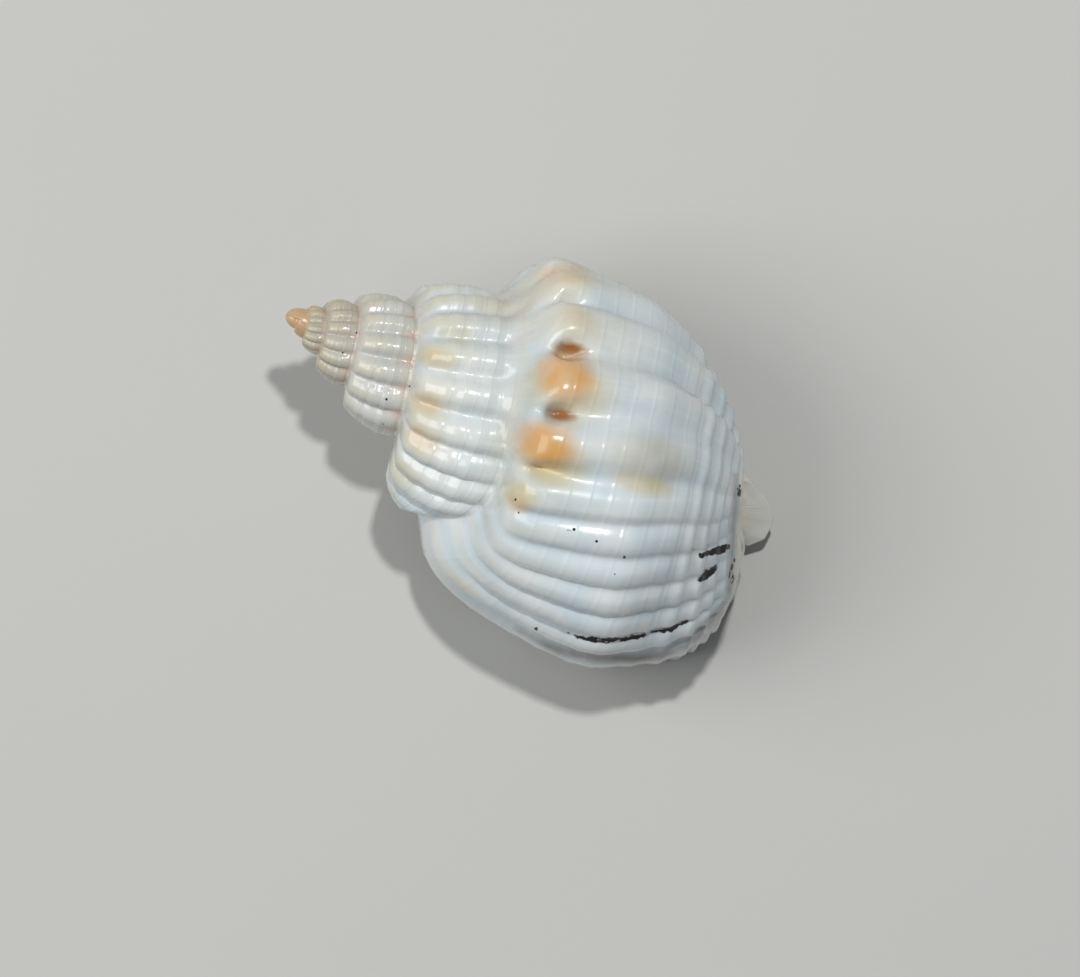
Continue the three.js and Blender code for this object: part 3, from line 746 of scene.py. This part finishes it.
# %% Masks that follow the growth
# Cream lies on the crests near the shoulder, whorl by whorl: turn, share on the crest, share all over
CREAM_BY_TURN = [
    [-5, 0.5, 0.4], [-3.2, 0.5, 0.35], [-2.3, 0.6, 0.25], [-1.6, 0.6, 0.2], [-1, 0.6, 0.2],
    [-0.6, 0.35, 0.15], [-0.2, 0.5, 0.12], [0, 0.35, 0.1], [0.12, 0.3, 0.04], [0.345, 0.3, 0.04],
]
CREAM_ACROSS = [[0, 0.8], [0.06, 1], [0.18, 0.7], [0.3, 0.2], [0.42, 0.1], [0.5, 0.5], [0.51, 0], [1, 0]]
ROSE_BY_TURN = [[-5, 0], [-3.6, 0.7], [-2, 0.9], [-1.3, 0.6], [-0.9, 0.1], [-0.6, 0], [0.345, 0]]
ROSE_ACROSS = [[0, 0.8], [0.06, 0.2], [0.3, 0.05], [0.42, 0.5], [0.5, 1], [1, 0]]
DUSK_BY_TURN = [[-5, 1], [-3, 0.9], [-2, 0.45], [-1.2, 0.1], [-0.9, 0], [0.345, 0]]
# Rose is strongest between the crests
ROSE_BETWEEN = 1.2
BUFF_TIP = (-4.75, -3.9)
LIP_EDGE = (0.336, 0.344)
CANAL_BORDER = (0.955, 0.985)


def growth_masks(points, turn, across, crest, inner=0.0, on_rim=0):
    """All the masks of a sheet; inner grows into the hollow, on_rim reaches 1 inside the rim"""
    on_crest, all_over = follow(CREAM_BY_TURN, turn)
    callus = follow(CALLUS_SPREAD, turn)[0] * (turn > base_turns[0]) * (1 - inner)
    canal_edge = smooth(across, *CANAL_BORDER) * (1 - inner)
    rose = follow(ROSE_BY_TURN, turn)[0] * follow(ROSE_ACROSS, across)[0] * (ROSE_BETWEEN - crest)
    lip_edge = np.maximum(smooth(turn, *LIP_EDGE), strokes(points, LIP_SHADE, LOWEST_LIP))
    return {
        "dusk": follow(DUSK_BY_TURN, turn)[0] * (1 - inner),
        "cream": (on_crest * crest ** 2 * follow(CREAM_ACROSS, across)[0] + all_over) * (1 - inner),
        "rose": rose * (1 - inner),
        "buff_tip": 1 - smooth(turn, *BUFF_TIP) * (1 - inner) - inner,
        "warm": spots(points, WARM_SPOTS) * (1 - inner),
        # Painted shade: darkened patches near the siphonal end, where less light falls
        "painted_shade": spots(points, PAINTED_SHADE_SPOTS) * (1 - inner),
        "yellow": spots(points, YELLOW_SPOTS) * (1 - inner),
        "orange": spots(points, ORANGE_SPOTS) * (1 - inner),
        "pit": spots(points, PIT_SPOTS) * (1 - inner),
        "callus": np.maximum(callus, canal_edge),
        # Cream line, lightened also as a painted highlight for a ridge that the mesh lacks
        "ridge": strokes(points, CREAM_RIDGE_AND_HIGHLIGHT) * (1 - inner),
        "lip_edge": lip_edge * (on_rim < 1),
        # Painted shade: a dark line for a groove that the mesh lacks
        "groove": strokes(points, PAINTED_GROOVE_SHADE) * (1 - inner),
        "inside": inner,
        "mud": strokes(points, MUD) * (1 - inner),
    }


RIM_RINGS = 3
FADING_RINGS = 9
band_turn, band_across = np.broadcast_arrays(T, A * BAND_END)
base_turn, base_across = np.broadcast_arrays(base_turns[:, None], base_across)
ring_place = np.broadcast_to(np.append(rim_place, 1), hollow.shape[:2])
ring_turn = np.where(ring_place < CANAL_FROM, LIP_TURN, 0.0)
ring_number = np.broadcast_to(np.arange(len(hollow))[:, None], ring_place.shape)
ring_inner = smooth(ring_number, len(TURN_OVER), len(TURN_OVER) + FADING_RINGS)
dome_turn = np.full(dome.shape[:2], turns[0])
masks = {
    "band": growth_masks(band, band_turn, band_across, band_crest),
    "base": growth_masks(base, base_turn, base_across, base_crest),
    "hollow": growth_masks(hollow, ring_turn, 1.0, 0.5, ring_inner, ring_number / RIM_RINGS),
    "dome": growth_masks(dome, dome_turn, 0, 1),
}
sheets = [
    add_sheet("band", band, growth_uv(band_turn, band_across), masks["band"]),
    add_sheet("base", base, growth_uv(base_turn, base_across), masks["base"]),
    add_sheet("hollow", hollow, growth_uv(ring_turn, ring_place), masks["hollow"]),
    add_sheet("dome", dome, growth_uv(dome_turn, 0), masks["dome"]),
]
print("sheets:", [(sheet.name, len(sheet.data.vertices)) for sheet in sheets])

# %% [markdown]
# ## One closed piece
# The real shell is one piece, so the sheets become one object. They share their edges vertex by vertex,
# which lets a merge by distance close every seam. The faces are then turned outwards, and the open
# edges are counted: none may be left.

# %% Join the sheets
MERGE_DISTANCE = 4e-7
bpy.ops.object.select_all(action="DESELECT")
for sheet in sheets:
    sheet.select_set(True)
bpy.context.view_layer.objects.active = sheets[0]
bpy.ops.object.join()
shell = bpy.context.active_object
shell.name = "glazed_shell"
bpy.ops.object.mode_set(mode="EDIT")
bpy.ops.mesh.select_all(action="SELECT")
bpy.ops.mesh.remove_doubles(threshold=MERGE_DISTANCE)
bpy.ops.mesh.select_all(action="SELECT")
bpy.ops.mesh.normals_make_consistent(inside=False)
bpy.ops.mesh.select_all(action="DESELECT")
bpy.ops.mesh.select_non_manifold()
bpy.ops.object.mode_set(mode="OBJECT")
bpy.ops.object.shade_smooth()
open_edges = sum(edge.select for edge in shell.data.edges)
print("shell faces", len(shell.data.polygons), "open edges", open_edges)

# %% [markdown]
# ## In place of the plain solid
# The fixed model holds a coarse solid of the same shell. The fine one rides on the same body and takes
# the solid's place, so the two never show together.

# %% Hand the shell to the frame
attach(shell, "root")
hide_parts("shell")


# %% [markdown]
# ## The glaze
# The shell is aragonite, the same chalky mineral as a pearl, laid down in fine layers by the snail and
# polished by its foot. It shows like porcelain: bluish white, a little see-through at the edges, with a
# hard gloss that breaks into small lights on each cord. Its colours lie under the gloss. They are built
# up in layers, as a painter would glaze a pot: first the white, cloudy over a few millimetres, then
# each mask's colour over it, with its edge broken up by noise so that no spot looks stamped.

# %% Helpers for materials
def linear(code):
    """An sRGB hex colour as a linear one"""
    parts = [int(code[i:i + 2], 16) / 255 for i in (1, 3, 5)]
    return [c / 12.92 if c <= 0.04045 else ((c + 0.055) / 1.055) ** 2.4 for c in parts] + [1.0]


def add_node(material, kind, settings, inputs):
    """Add a node with its settings, and link or set its inputs, by name or by number"""
    tree = material.node_tree
    node = tree.nodes.new(kind)
    for name, value in settings.items():
        setattr(node, name, value)
    for socket, value in inputs.items():
        if isinstance(value, bpy.types.NodeSocket):
            tree.links.new(value, node.inputs[socket])
        else:
            node.inputs[socket].default_value = value
    return node


# %% The white of the shell
PER_METRE = 1000
CLOUD_MM, GRAIN_MM = 2.6, 0.28
CLOUD_LOW, CLOUD_HIGH = 0.35, 0.65
WHITE, BLUE_WHITE = "#D2D7D8", "#BFCDD4"

glaze = bpy.data.materials.new("aragonite_glaze")
glaze.use_nodes = True
coordinates = add_node(glaze, "ShaderNodeTexCoord", {}, {})
place = coordinates.outputs["Object"]
growth = add_node(glaze, "ShaderNodeUVMap", {"uv_map": "growth"}, {})
cloud = add_node(glaze, "ShaderNodeTexNoise", {}, {
    "Vector": place, "Scale": PER_METRE / CLOUD_MM, "Detail": 3.0})
grain = add_node(glaze, "ShaderNodeTexNoise", {}, {
    "Vector": place, "Scale": PER_METRE / GRAIN_MM, "Detail": 2.0})
cloud_share = add_node(glaze, "ShaderNodeMapRange", {}, {
    "Value": cloud.outputs[0], "From Min": CLOUD_LOW, "From Max": CLOUD_HIGH})
white = add_node(glaze, "ShaderNodeMix", {"data_type": "RGBA"}, {
    0: cloud_share.outputs[0], 6: linear(WHITE), 7: linear(BLUE_WHITE)})
print("clouds of", CLOUD_MM, "mm between", WHITE, "and", BLUE_WHITE)

# %% [markdown]
# ## Growth lines
# Milky lines run along the ribs, one for each time that the lip stood still for a while. The UV map
# holds the turn and the way across, so noise that is squeezed along the turn gives lines that follow the
# growth by themselves. A wave texture would make them too even.

# %% Growth lines
LINES_PER_TURN, LINES_ACROSS = 150, 3
LINE_FROM, LINE_TO, LINE_STRENGTH = 0.5, 0.75, 0.3
MILKY = "#E4E6E2"
line_place = add_node(glaze, "ShaderNodeVectorMath", {"operation": "MULTIPLY"}, {
    0: growth.outputs[0], 1: (LINES_PER_TURN, LINES_ACROSS, 0)})
growth_line = add_node(glaze, "ShaderNodeTexNoise", {}, {
    "Vector": line_place.outputs[0], "Scale": 1.0, "Detail": 3.0})
line_share = add_node(glaze, "ShaderNodeMapRange", {}, {
    "Value": growth_line.outputs[0], "From Min": LINE_FROM, "From Max": LINE_TO, "To Max": LINE_STRENGTH})
lined = add_node(glaze, "ShaderNodeMix", {"data_type": "RGBA"}, {
    0: line_share.outputs[0], 6: white.outputs[2], 7: linear(MILKY)})
print("growth lines to a turn:", LINES_PER_TURN)

# %% [markdown]
# ## The layers of colour
# The first whorls are dusky, the sutures rosy, the crests cream, and the knobs orange with a brown pit
# beside them. The colours lie over each other, so they are mixed one after another in a loop. The cloudy
# noise thins each mask in patches, as the snail's own pigment came and went.
# Three layers are painted light rather than pigment: painted shade on the siphonal end and in the groove
# beside its ridge, and a painted highlight on that cream ridge.

# %% The layers of colour
# Mask, colour, strength, and how much the noise thins the mask
LAYERS = [
    ("dusk", "#8E8573", 0.85, 0.3),
    ("cream", "#D2C59E", 0.7, 0.5),
    ("rose", "#B98F76", 0.8, 0.5),
    ("warm", "#B0AA94", 0.8, 0.4),
    ("buff_tip", "#BE9263", 0.8, 0.3),
    ("yellow", "#C2B075", 0.8, 0.5),
    ("orange", "#CC8E36", 0.85, 0.3),
    ("pit", "#8C5410", 0.97, 0.1),
    ("callus", "#E2DFD5", 0.8, 0.2),
    ("inside", "#CDB99C", 0.9, 0.2),
    # Painted shade, darkening the base near the siphonal end
    ("painted_shade", "#70777B", 0.8, 0.3),
    # Cream, and a painted highlight on the ridge
    ("ridge", "#E9E0C6", 0.9, 0.1),
    ("lip_edge", "#5C4635", 0.85, 0.5),
    # Painted shade in the groove beside the ridge
    ("groove", "#5A5248", 0.9, 0.3),
]
THIN_FROM, THIN_TO = 0.3, 0.6
colour = lined.outputs[2]
for mask, code, strength, thinned in LAYERS:
    amount = add_node(glaze, "ShaderNodeAttribute", {"attribute_name": mask}, {}).outputs["Fac"]
    patchy = add_node(glaze, "ShaderNodeMapRange", {}, {
        "Value": cloud.outputs[0], "From Min": THIN_FROM, "From Max": THIN_TO, "To Min": 1 - thinned})
    share = add_node(glaze, "ShaderNodeMath", {"operation": "MULTIPLY"}, {0: amount, 1: patchy.outputs[0]})
    share = add_node(glaze, "ShaderNodeMath", {"operation": "MULTIPLY", "use_clamp": True}, {
        0: share.outputs[0], 1: strength})
    colour = add_node(glaze, "ShaderNodeMix", {"data_type": "RGBA"}, {
        0: share.outputs[0], 6: colour, 7: linear(code)}).outputs[2]
print("layers of colour:", len(LAYERS))

# %% [markdown]
# ## Mud in the grooves
# Dried mud sits in a few grooves near the lip as dark strokes, and as specks on the side that faces up.
# Mud has a torn edge, so fine noise is added to the stroke before it is cut off sharply. A speck is
# smaller than the mesh's faces, so it is a distance in the material and not a mask at the vertices.

# %% Mud in the grooves
MUD_TORN = 0.2
MUD_FROM, MUD_TO = 0.47, 0.6
MUD_COLOUR = "#1C1713"
WOBBLE_MM = 0.1
# The noise behind the wobble is about a half, so it shifts a speck by this much
WOBBLE_SHIFT = 0.5 * WOBBLE_MM
FACES_UP = 0.35
SPECK_OUTER, SPECK_INNER = 1.1, 0.8
mud = add_node(glaze, "ShaderNodeAttribute", {"attribute_name": "mud"}, {}).outputs["Fac"]
torn = add_node(glaze, "ShaderNodeMapRange", {}, {
    "Value": grain.outputs[0], "From Min": 0.25, "From Max": 0.75, "To Min": -MUD_TORN, "To Max": MUD_TORN})
torn_mud = add_node(glaze, "ShaderNodeMath", {"operation": "ADD"}, {0: mud, 1: torn.outputs[0]})
muddy = add_node(glaze, "ShaderNodeMapRange", {}, {
    "Value": torn_mud.outputs[0], "From Min": MUD_FROM, "From Max": MUD_TO}).outputs[0]
flat_place = add_node(glaze, "ShaderNodeVectorMath", {"operation": "MULTIPLY"}, {0: place, 1: (1, 1, 0)})
wobble = add_node(glaze, "ShaderNodeVectorMath", {"operation": "SCALE"}, {
    0: grain.outputs[1], "Scale": WOBBLE_MM * MM})
flat_place = add_node(glaze, "ShaderNodeVectorMath", {"operation": "ADD"}, {
    0: flat_place.outputs[0], 1: wobble.outputs[0]})
geometry = add_node(glaze, "ShaderNodeNewGeometry", {}, {})
facing = add_node(glaze, "ShaderNodeSeparateXYZ", {}, {0: geometry.outputs["Normal"]})
faces_up = add_node(glaze, "ShaderNodeMath", {"operation": "GREATER_THAN"}, {
    0: facing.outputs[2], 1: FACES_UP})
for along, side, radius in SPECKS:
    level = np.array([along - TIP_SHIFT - MIDDLE[0], -side - MIDDLE[1], 0]) + WOBBLE_SHIFT
    away = add_node(glaze, "ShaderNodeVectorMath", {"operation": "DISTANCE"}, {
        0: flat_place.outputs[0], 1: tuple(level * MM)})
    speck = add_node(glaze, "ShaderNodeMapRange", {}, {
        "Value": away.outputs["Value"],
        "From Min": radius * SPECK_OUTER * MM,
        "From Max": radius * SPECK_INNER * MM})
    speck = add_node(glaze, "ShaderNodeMath", {"operation": "MULTIPLY"}, {
        0: speck.outputs[0], 1: faces_up.outputs[0]})
    muddy = add_node(glaze, "ShaderNodeMath", {"operation": "MAXIMUM"}, {
        0: muddy, 1: speck.outputs[0]}).outputs[0]
colour = add_node(glaze, "ShaderNodeMix", {"data_type": "RGBA"}, {
    0: muddy, 6: colour, 7: linear(MUD_COLOUR)}).outputs[2]
print("specks:", len(SPECKS))

# %% [markdown]
# ## Gloss and fine relief
# Aragonite bends light by 1.6. Its polish is worn a little, more on some patches and most on the crowns
# of the knobs, and mud is dull. A clear coat over a softer base gives the small, hard lights of a
# polished shell. Threads and growth lines too thin for the mesh are a bump in the material.

# %% Gloss and fine relief
IOR = 1.6
POLISH, WORN, MUD_ROUGHNESS = 0.2, 0.38, 0.85
WORN_FROM, WORN_TO = 0.35, 0.7
LINE_HEIGHT, BUMP_STRENGTH, GRAIN_SHARE = 0.012, 0.6, 0.25
# Threads too thin for the mesh run round the whorls, about one to a millimetre on the last one
THREADS_ACROSS, THREAD_SHARPNESS, THREAD_SHARE = 17, 12, 1.6
worn = add_node(glaze, "ShaderNodeMapRange", {}, {
    "Value": cloud.outputs[0], "From Min": WORN_FROM, "From Max": WORN_TO, "To Min": POLISH, "To Max": WORN})
roughness = add_node(glaze, "ShaderNodeMix", {"data_type": "FLOAT"}, {
    0: muddy, 2: worn.outputs[0], 3: MUD_ROUGHNESS})
growth_parts = add_node(glaze, "ShaderNodeSeparateXYZ", {}, {0: growth.outputs[0]})
thread_angle = add_node(glaze, "ShaderNodeMath", {"operation": "MULTIPLY"}, {
    0: growth_parts.outputs[1], 1: 2 * math.pi * THREADS_ACROSS})
thread_wave = add_node(glaze, "ShaderNodeMath", {"operation": "COSINE"}, {0: thread_angle.outputs[0]})
thread_wave = add_node(glaze, "ShaderNodeMapRange", {}, {"Value": thread_wave.outputs[0], "From Min": -1.0})
thread_line = add_node(glaze, "ShaderNodeMath", {"operation": "POWER"}, {
    0: thread_wave.outputs[0], 1: THREAD_SHARPNESS})
height = add_node(glaze, "ShaderNodeMath", {"operation": "MULTIPLY_ADD"}, {
    0: thread_line.outputs[0], 1: THREAD_SHARE, 2: growth_line.outputs[0]})
height = add_node(glaze, "ShaderNodeMath", {"operation": "MULTIPLY_ADD"}, {
    0: grain.outputs[0], 1: GRAIN_SHARE, 2: height.outputs[0]})
bump = add_node(glaze, "ShaderNodeBump", {}, {
    "Height": height.outputs[0], "Distance": LINE_HEIGHT * MM, "Strength": BUMP_STRENGTH})
print("threads across a whorl:", THREADS_ACROSS)

# %% The finished glaze
# The knobs stand out, so their crowns are rubbed dull
GLOSS, RUBBED_GLOSS = 0.6, 0.15
knob_amount = add_node(glaze, "ShaderNodeAttribute", {"attribute_name": "orange"}, {})
coat = add_node(glaze, "ShaderNodeMapRange", {}, {
    "Value": knob_amount.outputs["Fac"], "To Min": GLOSS, "To Max": RUBBED_GLOSS})

GLAZE_VALUES = {
    "IOR": IOR,
    "Specular IOR Level": 0.3,
    "Coat Roughness": 0.06,
    "Coat IOR": 1.5,
    "Subsurface Weight": 0.12,
    "Subsurface Radius": (1.0, 0.75, 0.6),
    "Subsurface Scale": 0.6 * MM,
}
GLAZE_LINKS = {
    "Base Color": colour,
    "Roughness": roughness.outputs[0],
    "Coat Weight": coat.outputs[0],
    "Normal": bump.outputs[0],
}
principled = glaze.node_tree.nodes["Principled BSDF"]
for socket, value in GLAZE_VALUES.items():
    principled.inputs[socket].default_value = value
for socket, output in GLAZE_LINKS.items():
    glaze.node_tree.links.new(output, principled.inputs[socket])
shell.data.materials.clear()
shell.data.materials.append(glaze)
print("nodes in the glaze:", len(glaze.node_tree.nodes))

# %% [markdown]
# ## The floor and the light
# The shell lies on a sheet of pale paper that is almost one tone. A small key light, high up on the far
# side, gives the crisp shadow and the sharp lights on the cords, and a wide, weak one fills in the lip
# side. The key is put where the shadow falls to the lower left, as it does in the view from above.

# %% The floor
FLOOR_SIZE = 4
FLOOR_GAP = -0.02
PAPER, PAPER_SHADE, PAPER_ROUGHNESS = "#BDBCB8", "#BABAB6", 0.9
PAPER_CLOUD_MM = 30

bpy.ops.object.select_all(action="DESELECT")
bpy.ops.mesh.primitive_plane_add(size=FLOOR_SIZE, location=(0, 0, FLOOR_GAP * MM))
floor = bpy.context.active_object
floor.name = "floor"
paper = bpy.data.materials.new("pale_paper")
paper.use_nodes = True
paper_place = add_node(paper, "ShaderNodeTexCoord", {}, {})
mottle = add_node(paper, "ShaderNodeTexNoise", {}, {
    "Vector": paper_place.outputs["Object"], "Scale": PER_METRE / PAPER_CLOUD_MM, "Detail": 2.0})
paper_tone = add_node(paper, "ShaderNodeMix", {"data_type": "RGBA"}, {
    0: mottle.outputs[0], 6: linear(PAPER), 7: linear(PAPER_SHADE)})
sheet_of_paper = paper.node_tree.nodes["Principled BSDF"]
paper.node_tree.links.new(paper_tone.outputs[2], sheet_of_paper.inputs["Base Color"])
sheet_of_paper.inputs["Roughness"].default_value = PAPER_ROUGHNESS
floor.data.materials.append(paper)
print("floor of", FLOOR_SIZE, "m")

# %% The lights
SKY, SKY_STRENGTH = (0.9, 0.95, 1.0, 1.0), 0.24

scene = bpy.context.scene
scene.view_settings.view_transform = "Standard"
world = bpy.data.worlds.new("studio")
scene.world = world
world.use_nodes = True
world.node_tree.nodes["Background"].inputs["Color"].default_value = SKY
world.node_tree.nodes["Background"].inputs["Strength"].default_value = SKY_STRENGTH


def add_light(name, place, size, power):
    """A square area light at a place in millimetres that looks at the shell"""
    light = bpy.data.lights.new(name, "AREA")
    light.size = size * MM
    light.energy = power
    lamp = bpy.data.objects.new(name, light)
    scene.collection.objects.link(lamp)
    lamp.location = [x * MM for x in place]
    lamp.rotation_euler = lamp.location.to_track_quat("Z", "Y").to_euler()


add_light("key", (-20, 140, 420), 20, 1.08)
add_light("fill", (-260, -80, 320), 300, 0.9)
print("lights:", [item.name for item in bpy.data.lights])
